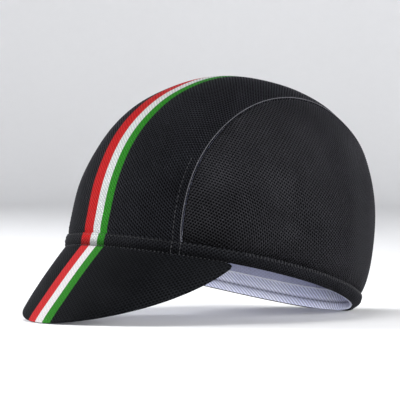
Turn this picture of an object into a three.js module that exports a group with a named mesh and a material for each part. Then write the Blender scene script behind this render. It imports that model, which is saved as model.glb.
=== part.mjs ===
// A cycling cap: a soft three-panel crown, an outer headband, an inner sweatband and a short peak.
// Units are millimetres. The wearer faces -Y, the wearer's left is +X and up is +Z.
// Every piece is shaped in the cap's own frame, whose zero height is the lower edge of the rim,
// and the finished cap is then tipped onto its peak and the back of its rim, as it lies on a table.

import * as THREE from 'three';

// The rim, seen from above
const RIM_HALF_LENGTH = 96;
const RIM_HALF_WIDTH = 79;
const RIM_WIDER_TO_THE_FRONT = 0.112;
const RIM_BACK_CORNERS_DRAWN_IN = 0.025;
const RIM_RISE_AT_SIDES = 2.4;

// The crown
const CROWN_HEIGHT = 121.7;
const CLOTH_THICKNESS = 1.2;
const TUCK_DEPTH_FRONT = 0.5;
const TUCK_DEPTH_REST = 1.4;
const TUCK_REACH_FRONT = 2.5;
const TUCK_REACH_REST = 6;

// The bands round the rim
const HEADBAND_HEIGHT = 7.4;
const HEADBAND_ROUNDING = 0.45;
const HEADBAND_LEAN_IN = 1.3;
const SWEATBAND_HEIGHT = 13.4;
const SWEATBAND_DROP = 0.2;
const SWEATBAND_THICKNESS = 1.3;
const SWEATBAND_CREASE_HEIGHT = 5.4;
const SWEATBAND_CREASE_DEPTH = 0.4;

// The peak
const PEAK_HALF_ANGLE = 58.3;
const PEAK_LENGTH = 56.8;
const PEAK_THICKNESS = 2.2;
const PEAK_SLOPE_MIDDLE = 59.9;
const PEAK_SLOPE_ENDS = 63.8;
const PEAK_BOW = 3.4;
const PEAK_OUTLINE_SPREAD = 1.92;
const PEAK_OUTLINE_ROUNDNESS = 0.72;
const PEAK_END_SHARE = 0.99;

// Room left between neighbouring pieces, and how far the rim's cloth gives where it lies on the table
const SEAM_GAP = 0.3;
const RIM_GIVE = 0.8;

// How finely each piece is divided
const CENTRE_STEPS = { along: 44, across: 10 };
const SIDE_STEPS = { along: 44, up: 14 };
const RING_STEPS = 88;
const PEAK_STEPS = { across: 40, out: 8 };

// How far the crown swells past a plain half ellipsoid, by angle up from the rim
const CROWN_SWELL = [
  { up: 0, front: 1.0, side: 1.0, back: 1.0 },
  { up: 8, front: 1.009, side: 1.032, back: 1.058 },
  { up: 18, front: 1.042, side: 1.048, back: 1.107 },
  { up: 30, front: 1.062, side: 1.049, back: 1.163 },
  { up: 44, front: 1.055, side: 1.048, back: 1.17 },
  { up: 58, front: 1.028, side: 1.039, back: 1.119 },
  { up: 72, front: 1.012, side: 1.024, back: 1.052 },
  { up: 90, front: 1.0, side: 1.0, back: 1.0 },
];

// Half the centre panel's width as a share of the crown's, by angle over the top from front to back
const CENTRE_PANEL_EDGE = [
  { over: 0, share: 0.635 },
  { over: 15, share: 0.595 },
  { over: 30, share: 0.567 },
  { over: 60, share: 0.537 },
  { over: 90, share: 0.482 },
  { over: 120, share: 0.39 },
  { over: 150, share: 0.3 },
  { over: 180, share: 0.255 },
];

// Soft dents and swells of the cloth: where they lie, their half sizes and slant in degrees, and height in mm
const CLOTH_RELIEF = [
  { around: 79, up: 16.5, long: 14, wide: 6, slant: -42, height: -2.1 },
  { around: 92, up: 26, long: 16, wide: 9, slant: -50, height: 0.9 },
  { around: -86, up: 17, long: 14, wide: 6, slant: 35, height: -1.1 },
];

const CAP_BLACK = 0x1d1d20;
const LINING_WHITE = 0xb9bacb;

const radians = THREE.MathUtils.degToRad;

// A smooth curve through one column of a table, level at its last row
function smoothColumn(table, place, column, at) {
  const last = table.length - 1;
  let row = 0;
  while (row < last - 1 && at > table[row + 1][place]) {
    row += 1;
  }
  const step = (i) => table[i + 1][place] - table[i][place];
  const rise = (i) => (table[i + 1][column] - table[i][column]) / step(i);
  const slope = (i) => {
    if (i === 0) {
      return rise(0);
    }
    if (i === last) {
      return 0;
    }
    return (rise(i - 1) * step(i) + rise(i) * step(i - 1)) / (step(i - 1) + step(i));
  };
  const span = step(row);
  const s = (at - table[row][place]) / span;
  const start = table[row][column];
  const end = table[row + 1][column];
  return (2 * s ** 3 - 3 * s ** 2 + 1) * start
    + (s ** 3 - 2 * s ** 2 + s) * span * slope(row)
    + (3 * s ** 2 - 2 * s ** 3) * end
    + (s ** 3 - s ** 2) * span * slope(row + 1);
}

// A point of the rim's plan at an angle round the head, 0 at the front and 90 degrees at the wearer's left
function rimPlan(around) {
  const sine = Math.sin(around);
  const cosine = Math.cos(around);
  const corner = (2 * sine * cosine) ** 2;
  const drawnIn = cosine < 0 ? 1 - RIM_BACK_CORNERS_DRAWN_IN * corner : 1;
  return new THREE.Vector2(
    RIM_HALF_WIDTH * sine * (1 + RIM_WIDER_TO_THE_FRONT * cosine) * drawnIn,
    -RIM_HALF_LENGTH * cosine * drawnIn,
  );
}

// How high the rim's lower edge stands at an angle round the head
function rimRise(around) {
  return RIM_RISE_AT_SIDES * Math.sin(around) ** 2;
}

// The smooth crown at an angle round the head and an angle up from the rim
function crownForm(around, up) {
  const c = Math.cos(around);
  const degreesUp = THREE.MathUtils.radToDeg(up);
  const swell = (c * c + c) / 2 * smoothColumn(CROWN_SWELL, 'up', 'front', degreesUp)
    + (1 - c * c) * smoothColumn(CROWN_SWELL, 'up', 'side', degreesUp)
    + (c * c - c) / 2 * smoothColumn(CROWN_SWELL, 'up', 'back', degreesUp);
  const plan = rimPlan(around).multiplyScalar(Math.cos(up) * swell);
  const lift = Math.sin(up) * swell;
  const rise = rimRise(around) * Math.cos(up) ** 4;
  return new THREE.Vector3(plan.x, plan.y, CROWN_HEIGHT * lift + rise);
}

// The angle up from the rim at which the crown stands a given height over the rim's lower edge
function upAtHeight(around, height) {
  let low = 0;
  let high = radians(30);
  for (let i = 0; i < 40; i += 1) {
    const middle = (low + high) / 2;
    if (crownForm(around, middle).z - rimRise(around) < height) {
      low = middle;
    } else {
      high = middle;
    }
  }
  return (low + high) / 2;
}

// The two angles of a direction from the middle of the rim, and the direction at two angles
function anglesOf(direction) {
  const up = Math.asin(THREE.MathUtils.clamp(direction.z, -1, 1));
  return { around: Math.atan2(direction.x, -direction.y), up };
}

function directionAt(around, up) {
  const level = Math.cos(up);
  return new THREE.Vector3(level * Math.sin(around), -level * Math.cos(around), Math.sin(up));
}

// The crown's outward direction there, from three close points of the smooth crown
function crownOutward(direction) {
  const reach = 0.002;
  const sideways = new THREE.Vector3(0, 0, 1).cross(direction);
  if (sideways.length() < reach) {
    return new THREE.Vector3(0, 0, 1);
  }
  sideways.normalize();
  const upward = direction.clone().cross(sideways);
  const probe = (tangent, amount) => {
    const near = anglesOf(direction.clone().addScaledVector(tangent, amount).normalize());
    return crownForm(near.around, near.up);
  };
  const across = probe(sideways, reach).sub(probe(sideways, -reach));
  const along = probe(upward, reach).sub(probe(upward, -reach));
  return across.cross(along).normalize();
}

// How near a place round the head is to the front: 1 there, falling to 0 at the back
function frontness(around) {
  return ((1 + Math.cos(around)) / 2) ** 2;
}

// How far the cloth is tucked in at the headband's seam, and at a height above that seam
function tuckAtSeam(around) {
  return TUCK_DEPTH_REST + (TUCK_DEPTH_FRONT - TUCK_DEPTH_REST) * frontness(around);
}

function tuck(around, aboveSeam) {
  const reach = TUCK_REACH_REST + (TUCK_REACH_FRONT - TUCK_REACH_REST) * frontness(around);
  return tuckAtSeam(around) * Math.exp(-Math.max(aboveSeam, 0) / reach);
}

// The dents and swells at two angles
function clothRelief(around, up) {
  let height = 0;
  for (const spot of CLOTH_RELIEF) {
    const sideways = THREE.MathUtils.radToDeg(around) - spot.around;
    const upward = THREE.MathUtils.radToDeg(up) - spot.up;
    const turn = radians(spot.slant);
    const along = sideways * Math.cos(turn) + upward * Math.sin(turn);
    const over = upward * Math.cos(turn) - sideways * Math.sin(turn);
    height += spot.height * Math.exp(-((along / spot.long) ** 2) - (over / spot.wide) ** 2);
  }
  return height;
}

// A point of the finished crown cloth, at a depth inwards from its outer face
function crownPoint(direction, depth) {
  const { around, up } = anglesOf(direction);
  const point = crownForm(around, up);
  const aboveSeam = point.z - rimRise(around) - HEADBAND_HEIGHT;
  const shift = clothRelief(around, up) - tuck(around, aboveSeam) - depth;
  return point.addScaledVector(crownOutward(direction), shift);
}

// The direction on the crown at an angle over the top and a share of the crown's half width
function directionOver(over, share) {
  const level = Math.sqrt(1 - share * share);
  return new THREE.Vector3(share, -level * Math.cos(over), level * Math.sin(over));
}

function panelEdgeShare(over) {
  return smoothColumn(CENTRE_PANEL_EDGE, 'over', 'share', THREE.MathUtils.radToDeg(over));
}

// The angle over the top where a line along the crown meets the headband's upper edge, front or back
function overAtHeadband(shareOf, atBack) {
  let below = atBack ? Math.PI : 0;
  let above = Math.PI / 2;
  for (let i = 0; i < 40; i += 1) {
    const over = (below + above) / 2;
    const { around, up } = anglesOf(directionOver(over, shareOf(over)));
    if (up < upAtHeight(around, HEADBAND_HEIGHT + SEAM_GAP)) {
      below = over;
    } else {
      above = over;
    }
  }
  return (below + above) / 2;
}

// Collects triangles, leaving out those that have shrunk to a line
class SkinBuilder {
  constructor() {
    this.positions = [];
  }

  triangle(a, b, c) {
    const tiny = 1e-4;
    if (a.distanceTo(b) < tiny || b.distanceTo(c) < tiny || c.distanceTo(a) < tiny) {
      return;
    }
    for (const p of [a, b, c]) {
      this.positions.push(p.x, p.y, p.z);
    }
  }

  quad(a, b, c, d) {
    this.triangle(a, b, c);
    this.triangle(a, c, d);
  }

  geometry() {
    const made = new THREE.BufferGeometry();
    made.setAttribute('position', new THREE.Float32BufferAttribute(this.positions, 3));
    return made;
  }
}

// A sheet of some thickness: two grids of points of the same size, joined all round their border
function sheet(outer, inner) {
  const skin = new SkinBuilder();
  const rows = outer.length - 1;
  const columns = outer[0].length - 1;
  for (let i = 0; i < rows; i += 1) {
    for (let j = 0; j < columns; j += 1) {
      skin.quad(outer[i][j], outer[i][j + 1], outer[i + 1][j + 1], outer[i + 1][j]);
      skin.quad(inner[i][j], inner[i + 1][j], inner[i + 1][j + 1], inner[i][j + 1]);
    }
  }
  for (let j = 0; j < columns; j += 1) {
    skin.quad(inner[0][j], inner[0][j + 1], outer[0][j + 1], outer[0][j]);
    skin.quad(outer[rows][j], outer[rows][j + 1], inner[rows][j + 1], inner[rows][j]);
  }
  for (let i = 0; i < rows; i += 1) {
    skin.quad(outer[i][0], outer[i + 1][0], inner[i + 1][0], inner[i][0]);
    skin.quad(inner[i][columns], inner[i + 1][columns], outer[i + 1][columns], outer[i][columns]);
  }
  return skin.geometry();
}

// A closed ring: a loop of section points at each step round the head
function ring(sectionAt) {
  const skin = new SkinBuilder();
  const loops = [];
  for (let i = 0; i < RING_STEPS; i += 1) {
    loops.push(sectionAt(2 * Math.PI * i / RING_STEPS));
  }
  for (let i = 0; i < RING_STEPS; i += 1) {
    const here = loops[i];
    const next = loops[(i + 1) % RING_STEPS];
    for (let j = 0; j < here.length; j += 1) {
      const k = (j + 1) % here.length;
      skin.quad(here[j], next[j], next[k], here[k]);
    }
  }
  return skin.geometry();
}

// Evenly counted shares from 0 to 1, drawn closer together towards both ends
function sharesCloserAtEnds(count) {
  const closeness = 0.5;
  return Array.from({ length: count + 1 }, (_, i) => {
    const even = i / count;
    return even - closeness * Math.sin(2 * Math.PI * even) / (2 * Math.PI);
  });
}

// Evenly counted shares from 0 to 1, drawn closer together towards the start
function sharesCloserAtStart(count) {
  return Array.from({ length: count + 1 }, (_, i) => (i / count) ** 1.5);
}

// The strip of cloth that runs from the peak over the top of the head to the back
function centrePanel() {
  const halfGap = SEAM_GAP / 2 / RIM_HALF_WIDTH;
  const rowsAtDepth = (depth) => {
    const lines = [];
    for (let j = 0; j <= CENTRE_STEPS.across; j += 1) {
      const side = 2 * j / CENTRE_STEPS.across - 1;
      const shareOf = (over) => side * (panelEdgeShare(over) - halfGap);
      const start = overAtHeadband(shareOf, false);
      const end = overAtHeadband(shareOf, true);
      lines.push(sharesCloserAtEnds(CENTRE_STEPS.along).map((s) => {
        const over = start + (end - start) * s;
        return crownPoint(directionOver(over, shareOf(over)), depth);
      }));
    }
    return lines[0].map((_, i) => lines.map((line) => line[i]));
  };
  return sheet(rowsAtDepth(0), rowsAtDepth(CLOTH_THICKNESS));
}

// The half moon of cloth over one ear: its straight edge on the headband, its round edge on the seam
function sidePanel(side) {
  const halfGap = SEAM_GAP / 2 / RIM_HALF_WIDTH;
  const shareOf = (over) => side * (panelEdgeShare(over) + halfGap);
  const start = overAtHeadband(shareOf, false);
  const end = overAtHeadband(shareOf, true);
  const frontCorner = anglesOf(directionOver(start, shareOf(start))).around;
  const backCorner = anglesOf(directionOver(end, shareOf(end))).around;
  const rowsAtDepth = (depth) => sharesCloserAtStart(SIDE_STEPS.up).map((rise) => (
    sharesCloserAtEnds(SIDE_STEPS.along).map((s) => {
      const over = start + (end - start) * s;
      const around = frontCorner + (backCorner - frontCorner) * s;
      const low = directionAt(around, upAtHeight(around, HEADBAND_HEIGHT + SEAM_GAP));
      const high = directionOver(over, shareOf(over));
      return crownPoint(low.lerp(high, rise).normalize(), depth);
    })
  ));
  const outer = rowsAtDepth(0);
  const inner = rowsAtDepth(CLOTH_THICKNESS);
  return side > 0 ? sheet(outer, inner) : sheet(inner, outer);
}

// A point of a band: a height over the rim's lower edge and a distance out from the crown's form
function bandPoint(around, height, out) {
  const up = upAtHeight(around, Math.max(height, 0));
  const outward = crownOutward(directionAt(around, up)).setZ(0).normalize();
  const point = crownForm(around, up);
  point.z = rimRise(around) + height;
  return point.addScaledVector(outward, out);
}

// The outer band, a folded hem a little rounder than the crown; behind the peak its elastic draws
// the lower edge in
function headband() {
  const outerFace = [
    { height: 0, out: -0.5, lean: 1 },
    { height: 0.9, out: 0.1, lean: 0.8 },
    { height: 3.6, out: HEADBAND_ROUNDING, lean: 0.15 },
    { height: 6.4, out: 0.2, lean: 0 },
    { height: HEADBAND_HEIGHT, out: -0.5, lean: 0 },
  ];
  const softEdge = 0.5;
  return ring((around) => {
    const inside = -(tuckAtSeam(around) + CLOTH_THICKNESS);
    const leanIn = HEADBAND_LEAN_IN * (1 - frontness(around));
    return [
      bandPoint(around, HEADBAND_HEIGHT, inside),
      bandPoint(around, softEdge, inside),
      bandPoint(around, 0, inside + softEdge),
      ...outerFace.map((p) => bandPoint(around, p.height, p.out - leanIn * p.lean)),
    ];
  });
}

// The inner band, lying against the crown's lining and creased along its stitched seam
function sweatband() {
  const outerFace = (around, height) => {
    const relief = clothRelief(around, upAtHeight(around, Math.max(height, HEADBAND_HEIGHT)));
    return relief - tuck(around, height - HEADBAND_HEIGHT) - CLOTH_THICKNESS - SEAM_GAP;
  };
  const inside = -SWEATBAND_THICKNESS;
  const bottom = -SWEATBAND_DROP;
  const softEdge = 0.3;
  const creaseWidth = 0.9;
  const section = [
    { height: bottom, deeper: -softEdge },
    { height: HEADBAND_HEIGHT, deeper: 0 },
    { height: SWEATBAND_HEIGHT, deeper: -softEdge },
    { height: SWEATBAND_HEIGHT, deeper: inside + softEdge },
    { height: SWEATBAND_HEIGHT - 2 * softEdge, deeper: inside },
    { height: SWEATBAND_CREASE_HEIGHT + creaseWidth, deeper: inside },
    { height: SWEATBAND_CREASE_HEIGHT, deeper: inside + SWEATBAND_CREASE_DEPTH },
    { height: SWEATBAND_CREASE_HEIGHT - creaseWidth, deeper: inside },
    { height: bottom + 2 * softEdge, deeper: inside },
    { height: bottom, deeper: inside + softEdge },
  ];
  return ring((around) => section.map((p) => (
    bandPoint(around, p.height, outerFace(around, p.height) + p.deeper)
  )));
}

// The peak's upper face: across from -1 to 1 along the rim, out from 0 at the rim to 1 at the lip
function peakPoint(across, out, depth) {
  const around = across * radians(PEAK_HALF_ANGLE);
  const root = rimPlan(around);
  const length = PEAK_LENGTH * (1 - Math.abs(across) ** PEAK_OUTLINE_SPREAD) ** PEAK_OUTLINE_ROUNDNESS;
  const slope = radians(PEAK_SLOPE_MIDDLE + (PEAK_SLOPE_ENDS - PEAK_SLOPE_MIDDLE) * across * across
    + PEAK_BOW * (out - 0.5));
  const reach = SEAM_GAP * 2 + (length - SEAM_GAP * 2) * out;
  return new THREE.Vector3(
    root.x,
    root.y - reach * Math.cos(slope) + depth * Math.sin(slope),
    rimRise(around) - reach * Math.sin(slope) - depth * Math.cos(slope),
  );
}

// The stiffened peak, thinning to a rounded lip
function peak() {
  const lipThickness = PEAK_THICKNESS * 0.6;
  const thickness = (out) => PEAK_THICKNESS + (lipThickness - PEAK_THICKNESS) * out ** 6;
  const face = (under) => {
    const rows = [];
    for (let i = 0; i <= PEAK_STEPS.out; i += 1) {
      const out = Math.sin(Math.PI / 2 * i / PEAK_STEPS.out);
      const inset = (PEAK_THICKNESS - thickness(out)) / 2;
      const depth = under ? inset + thickness(out) : inset;
      const row = [];
      for (let j = 0; j <= PEAK_STEPS.across; j += 1) {
        const even = 2 * j / PEAK_STEPS.across - 1;
        const across = PEAK_END_SHARE * Math.sin(Math.PI / 2 * even);
        row.push(peakPoint(across, out, depth));
      }
      rows.push(row);
    }
    return rows;
  };
  return sheet(face(true), face(false));
}

// The lowest point of some shapes once tipped back by an angle
function lowestPoint(geometries, tip) {
  let lowest = Infinity;
  for (const geometry of geometries) {
    const position = geometry.getAttribute('position');
    for (let i = 0; i < position.count; i += 1) {
      const height = position.getZ(i) * Math.cos(tip) - position.getY(i) * Math.sin(tip);
      lowest = Math.min(lowest, height);
    }
  }
  return lowest;
}

// The tip at which the peak's lip and the slightly flattened back of the rim touch the table together
function restingTip(peakShape, rimShapes) {
  let low = 0;
  let high = radians(30);
  for (let i = 0; i < 40; i += 1) {
    const tip = (low + high) / 2;
    if (lowestPoint([peakShape], tip) < lowestPoint(rimShapes, tip) + RIM_GIVE) {
      low = tip;
    } else {
      high = tip;
    }
  }
  return (low + high) / 2;
}

// Lays the pieces on the table: tipped, flattened where the rim's cloth lies on it, and centred
function layOnTable(shapes) {
  const tip = restingTip(shapes.peak, [shapes.headband, shapes.sweatband]);
  const table = lowestPoint([shapes.peak], tip);
  const box = new THREE.Box3();
  for (const geometry of Object.values(shapes)) {
    geometry.rotateX(-tip);
    geometry.translate(0, 0, -table);
    const position = geometry.getAttribute('position');
    for (let i = 0; i < position.count; i += 1) {
      position.setZ(i, Math.max(position.getZ(i), 0));
    }
    geometry.computeBoundingBox();
    box.union(geometry.boundingBox);
  }
  const middle = box.getCenter(new THREE.Vector3());
  for (const geometry of Object.values(shapes)) {
    geometry.translate(-middle.x, -middle.y, 0);
    geometry.computeVertexNormals();
  }
}

function clothMesh(name, geometry, colour) {
  const material = new THREE.MeshStandardMaterial({ color: colour, roughness: 0.85, metalness: 0 });
  const mesh = new THREE.Mesh(geometry, material);
  mesh.name = name;
  return mesh;
}

const shapes = {
  centre: centrePanel(),
  left: sidePanel(1),
  right: sidePanel(-1),
  headband: headband(),
  sweatband: sweatband(),
  peak: peak(),
};
layOnTable(shapes);

const cap = new THREE.Group();
cap.name = 'cycling_cap';
cap.add(clothMesh('crown_centre_panel', shapes.centre, CAP_BLACK));
cap.add(clothMesh('crown_side_panel_left', shapes.left, CAP_BLACK));
cap.add(clothMesh('crown_side_panel_right', shapes.right, CAP_BLACK));
cap.add(clothMesh('headband', shapes.headband, CAP_BLACK));
cap.add(clothMesh('sweatband', shapes.sweatband, LINING_WHITE));
cap.add(clothMesh('peak', shapes.peak, CAP_BLACK));

export default cap;
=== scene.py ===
# %% [markdown]
# # A cycling cap, dressed in cloth
# The imported solids already have the cap's true size and outline. This lesson lays finer cloth
# over them: the same crown, bands and peak are worked out again from the same named sizes, but
# with enough points for seams, puckers and stitches. Lengths of the shape are kept in
# millimetres while it is worked out, because that is how a cap is measured, and turned into
# metres once, when the cap is laid on the table.

# %% Load the solids
import math

import bpy
import numpy as np
from mathutils import Matrix, Vector


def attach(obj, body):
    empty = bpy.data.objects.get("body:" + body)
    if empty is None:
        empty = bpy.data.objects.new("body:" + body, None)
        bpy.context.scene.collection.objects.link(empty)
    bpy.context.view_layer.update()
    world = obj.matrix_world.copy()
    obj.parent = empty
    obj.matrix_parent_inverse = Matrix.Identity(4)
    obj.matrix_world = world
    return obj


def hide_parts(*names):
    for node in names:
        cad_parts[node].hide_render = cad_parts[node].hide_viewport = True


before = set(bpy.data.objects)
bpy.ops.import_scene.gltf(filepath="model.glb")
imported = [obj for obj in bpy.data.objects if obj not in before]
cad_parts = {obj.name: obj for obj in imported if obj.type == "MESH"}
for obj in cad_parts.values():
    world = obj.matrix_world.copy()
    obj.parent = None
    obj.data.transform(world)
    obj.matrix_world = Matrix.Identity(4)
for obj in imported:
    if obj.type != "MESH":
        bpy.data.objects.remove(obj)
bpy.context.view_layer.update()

# %% [markdown]
# ## The cap's named sizes
# A soft crown has no straight edge to measure from, so its shape is a half ellipsoid that swells
# by a few per cent, more at the back than at the front. The swell and the width of the centre
# panel are short tables, and a smooth curve runs through each of them. Angles round the head
# start at the front and reach 90 degrees at the wearer's left.

# %% Named sizes, in millimetres and degrees
RIM_HALF_LENGTH = 96
RIM_HALF_WIDTH = 79
RIM_WIDER_TO_THE_FRONT = 0.112
RIM_BACK_CORNERS_DRAWN_IN = 0.025
RIM_RISE_AT_SIDES = 2.4
CROWN_HEIGHT = 121.7
CLOTH_THICKNESS = 1.2
TUCK_DEPTH_FRONT, TUCK_DEPTH_REST = 0.5, 1.4
TUCK_REACH_FRONT, TUCK_REACH_REST = 2.5, 6
HEADBAND_HEIGHT = 7.4
HEADBAND_LEAN_IN = 1.3
SWEATBAND_SEAM_HEIGHT = 5.4
PEAK_HALF_ANGLE = 58.3
PEAK_LENGTH = 56.8
PEAK_THICKNESS = 2.2
PEAK_SLOPE_MIDDLE, PEAK_SLOPE_ENDS = 59.9, 63.8
PEAK_BOW = 3.4
PEAK_OUTLINE_SPREAD = 1.92
PEAK_OUTLINE_ROUNDNESS = 0.72
PEAK_END_SHARE = 0.99

# How the crown swells past a plain half ellipsoid: angle up, then front, side and back
CROWN_SWELL = np.array([
    (0, 1.0, 1.0, 1.0),
    (8, 1.009, 1.032, 1.058),
    (18, 1.042, 1.048, 1.107),
    (30, 1.062, 1.049, 1.163),
    (44, 1.055, 1.048, 1.17),
    (58, 1.028, 1.039, 1.119),
    (72, 1.012, 1.024, 1.052),
    (90, 1.0, 1.0, 1.0),
])

# Half the centre panel's width as a share of the crown's, by angle over the top from the front
CENTRE_PANEL_EDGE = np.array([
    (0, 0.635), (15, 0.595), (30, 0.567), (60, 0.537),
    (90, 0.482), (120, 0.39), (150, 0.3), (180, 0.255),
])

# Soft dents and swells: around, up, half length, half width, slant and height
CLOTH_RELIEF = [
    (79, 16.5, 14, 6, -42, -2.1),
    (92, 26, 16, 9, -50, 0.9),
    (-86, 17, 14, 6, 35, -1.1),
]

# How the finished cap lies: tipped onto its peak and the back of its rim, then moved
TIP = math.radians(13.461463)
MOVED = np.array([0.13689, 10.15523, 21.12894])
print("the crown is", 2 * RIM_HALF_LENGTH, "mm long and", CROWN_HEIGHT, "mm high")

# %% [markdown]
# ## The crown as a formula
# Every function here takes whole arrays of angles and gives whole arrays of points, so a panel of
# ten thousand points is one call. Each point can be pushed in or out along the cloth's own
# outward direction, and that is how tucks, seams and puckers are added later.

# %% The crown, worked out with arrays
def smooth_column(places, values, at):
    """Cubic curve through a table's rows. A row's slope is the mean of the slopes on both sides
    of it, each weighed with the other's step. The first row has its own step's slope, and the
    last row is level."""
    at = np.asarray(at, float)
    step = np.diff(places)
    rise = np.diff(values) / step
    inner = (rise[:-1] * step[1:] + rise[1:] * step[:-1]) / (step[:-1] + step[1:])
    slope = np.concatenate([rise[:1], inner, [0.0]])
    row = np.clip(np.searchsorted(places, at, side="left") - 1, 0, len(step) - 1)
    s = (at - places[row]) / step[row]
    start_share = 2 * s**3 - 3 * s**2 + 1
    turn_share = s**3 - 2 * s**2 + s
    leave_share = s**3 - s**2
    turned = turn_share * slope[row] + leave_share * slope[row + 1]
    return start_share * values[row] + (1 - start_share) * values[row + 1] + turned * step[row]


def rim_plan(around):
    """The rim from above: an ellipse, x = width * sin and y = -length * cos, made wider towards
    the front by a share of cos and drawn in at its back corners by (2 sin cos) squared."""
    sine, cosine = np.sin(around), np.cos(around)
    drawn_in = 1 - RIM_BACK_CORNERS_DRAWN_IN * (2 * sine * cosine) ** 2 * (cosine < 0)
    x = RIM_HALF_WIDTH * sine * (1 + RIM_WIDER_TO_THE_FRONT * cosine) * drawn_in
    return x, -RIM_HALF_LENGTH * cosine * drawn_in


def rim_rise(around):
    """The rim's height: a fixed rise times sin squared, so highest over the ears."""
    return RIM_RISE_AT_SIDES * np.sin(around) ** 2


def crown_form(around, up):
    """The smooth crown: the rim's plan times cos(up) and the height times sin(up), both times the
    swell, which blends its front, side and back columns by the cosine round the head. The rim's
    rise is added to the height, times cos(up) to the fourth, so it fades upwards."""
    around, up = np.broadcast_arrays(around, up)
    cosine = np.cos(around)
    front, side, back = (
        smooth_column(CROWN_SWELL[:, 0], CROWN_SWELL[:, k], np.degrees(up)) for k in (1, 2, 3)
    )
    swell = (cosine**2 + cosine) / 2 * front + (1 - cosine**2) * side + (cosine**2 - cosine) / 2 * back
    x, y = rim_plan(around)
    level = np.cos(up) * swell
    z = CROWN_HEIGHT * np.sin(up) * swell + rim_rise(around) * np.cos(up) ** 4
    return np.stack([x * level, y * level, z], -1)


HALVINGS = 30  # a range halved this often is far narrower than a thread


def up_at_height(around, height):
    """The angle up at which the crown stands a height over the rim, found by halving a range."""
    around, height = np.broadcast_arrays(np.asarray(around, float), height)
    low, high = np.zeros(around.shape), np.full(around.shape, math.radians(30))
    for _ in range(HALVINGS):
        middle = (low + high) / 2
        short = crown_form(around, middle)[..., 2] - rim_rise(around) < height
        low, high = np.where(short, middle, low), np.where(short, high, middle)
    return (low + high) / 2


def angles_of(direction):
    """The two angles of a direction: the arctangent of x over -y, and the arcsine of z."""
    around = np.arctan2(direction[..., 0], -direction[..., 1])
    return around, np.arcsin(np.clip(direction[..., 2], -1, 1))


def direction_at(around, up):
    """The direction at two angles."""
    around, up = np.broadcast_arrays(around, up)
    level = np.cos(up)
    return np.stack([level * np.sin(around), -level * np.cos(around), np.sin(up)], -1)


def unit(vectors):
    """Vectors divided by their length."""
    return vectors / np.maximum(np.linalg.norm(vectors, axis=-1, keepdims=True), 1e-12)


def outward_at(direction):
    """The crown's outward direction: the cross product of two short steps over its surface."""
    step = 0.002
    sideways = unit(np.cross([0.0, 0.0, 1.0], direction))
    upward = np.cross(direction, sideways)
    moves = []
    for tangent in (sideways, upward):
        ahead = crown_form(*angles_of(unit(direction + step * tangent)))
        behind = crown_form(*angles_of(unit(direction - step * tangent)))
        moves.append(ahead - behind)
    return unit(np.cross(*moves))


def frontness(around):
    """1 at the front, falling to 0 at the back: ((1 + cos) / 2) squared."""
    return ((1 + np.cos(around)) / 2) ** 2


def tuck_at_seam(around):
    """How far the cloth is tucked in where the headband's seam holds it."""
    return TUCK_DEPTH_REST + (TUCK_DEPTH_FRONT - TUCK_DEPTH_REST) * frontness(around)


def tuck(around, above_seam):
    """The tuck fades upwards from the seam as an exponential."""
    reach = TUCK_REACH_REST + (TUCK_REACH_FRONT - TUCK_REACH_REST) * frontness(around)
    return tuck_at_seam(around) * np.exp(-np.maximum(above_seam, 0) / reach)


def cloth_relief(around, up):
    """The sum of the slanted dents and swells, each a Gaussian along and across its slant."""
    height = np.zeros(np.broadcast(around, up).shape)
    for spot_around, spot_up, long, wide, slant, lift in CLOTH_RELIEF:
        sideways = np.degrees(around) - spot_around
        upward = np.degrees(up) - spot_up
        turn = math.radians(slant)
        along = sideways * math.cos(turn) + upward * math.sin(turn)
        over = upward * math.cos(turn) - sideways * math.sin(turn)
        height = height + lift * np.exp(-((along / long) ** 2) - (over / wide) ** 2)
    return height


def crown_point(direction, raised=0.0):
    """A point of the crown's cloth, raised along the outward direction from its outer face."""
    around, up = angles_of(direction)
    point = crown_form(around, up)
    above_seam = point[..., 2] - rim_rise(around) - HEADBAND_HEIGHT
    shift = cloth_relief(around, up) - tuck(around, above_seam) + raised
    return point + outward_at(direction) * shift[..., None]


def direction_over(over, share):
    """A direction by angle over the top and share of the crown's half width."""
    level = np.sqrt(1 - share * share)
    return np.stack([share + 0 * over, -level * np.cos(over), level * np.sin(over)], -1)


def panel_edge(over):
    """The centre panel's half width as a share, by angle over the top."""
    return smooth_column(CENTRE_PANEL_EDGE[:, 0], CENTRE_PANEL_EDGE[:, 1], np.degrees(over))


def over_at_height(share_of, at_back, height, count):
    """The angle over the top where lines along the crown come down to a height over the rim."""
    below, above = np.full(count, math.pi if at_back else 0.0), np.full(count, math.pi / 2)
    for _ in range(HALVINGS):
        over = (below + above) / 2
        around, up = angles_of(direction_over(over, share_of(over)))
        short = up < up_at_height(around, height)
        below, above = np.where(short, over, below), np.where(short, above, over)
    return (below + above) / 2


def tipped(vectors):
    """Vectors turned with the cap as it tips back: y cos + z sin, and z cos - y sin."""
    cosine, sine = math.cos(TIP), math.sin(TIP)
    x, y, z = vectors[..., 0], vectors[..., 1], vectors[..., 2]
    return np.stack([x, y * cosine + z * sine, z * cosine - y * sine], -1)


def lay_on_table(points):
    """Tip the cap back, move it, press flat what would go below the table, and turn the
    millimetres into metres."""
    laid = tipped(points) + MOVED
    laid[..., 2] = np.maximum(laid[..., 2], 0)
    return laid / 1000


def arc_lengths(points, axis):
    """Lengths along a grid of points in one of its two directions, starting from 0."""
    steps = np.linalg.norm(np.diff(points, axis=axis), axis=-1)
    first = np.zeros_like(np.take(steps, [0], axis=axis))
    return np.concatenate([first, np.cumsum(steps, axis=axis)], axis=axis)


top = crown_form(0.0, math.pi / 2)
print("the crown's top stands", round(float(top[2]), 1), "mm over the rim's lower edge")

# %% [markdown]
# ## From grids of points to meshes
# A panel of cloth is two grids of points, its outer and its inner face, joined all round. A band
# is one grid that closes both round the head and round its own section. Both get a UV map in
# metres along the cloth, so that a weave keeps its real size on every piece.

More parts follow.
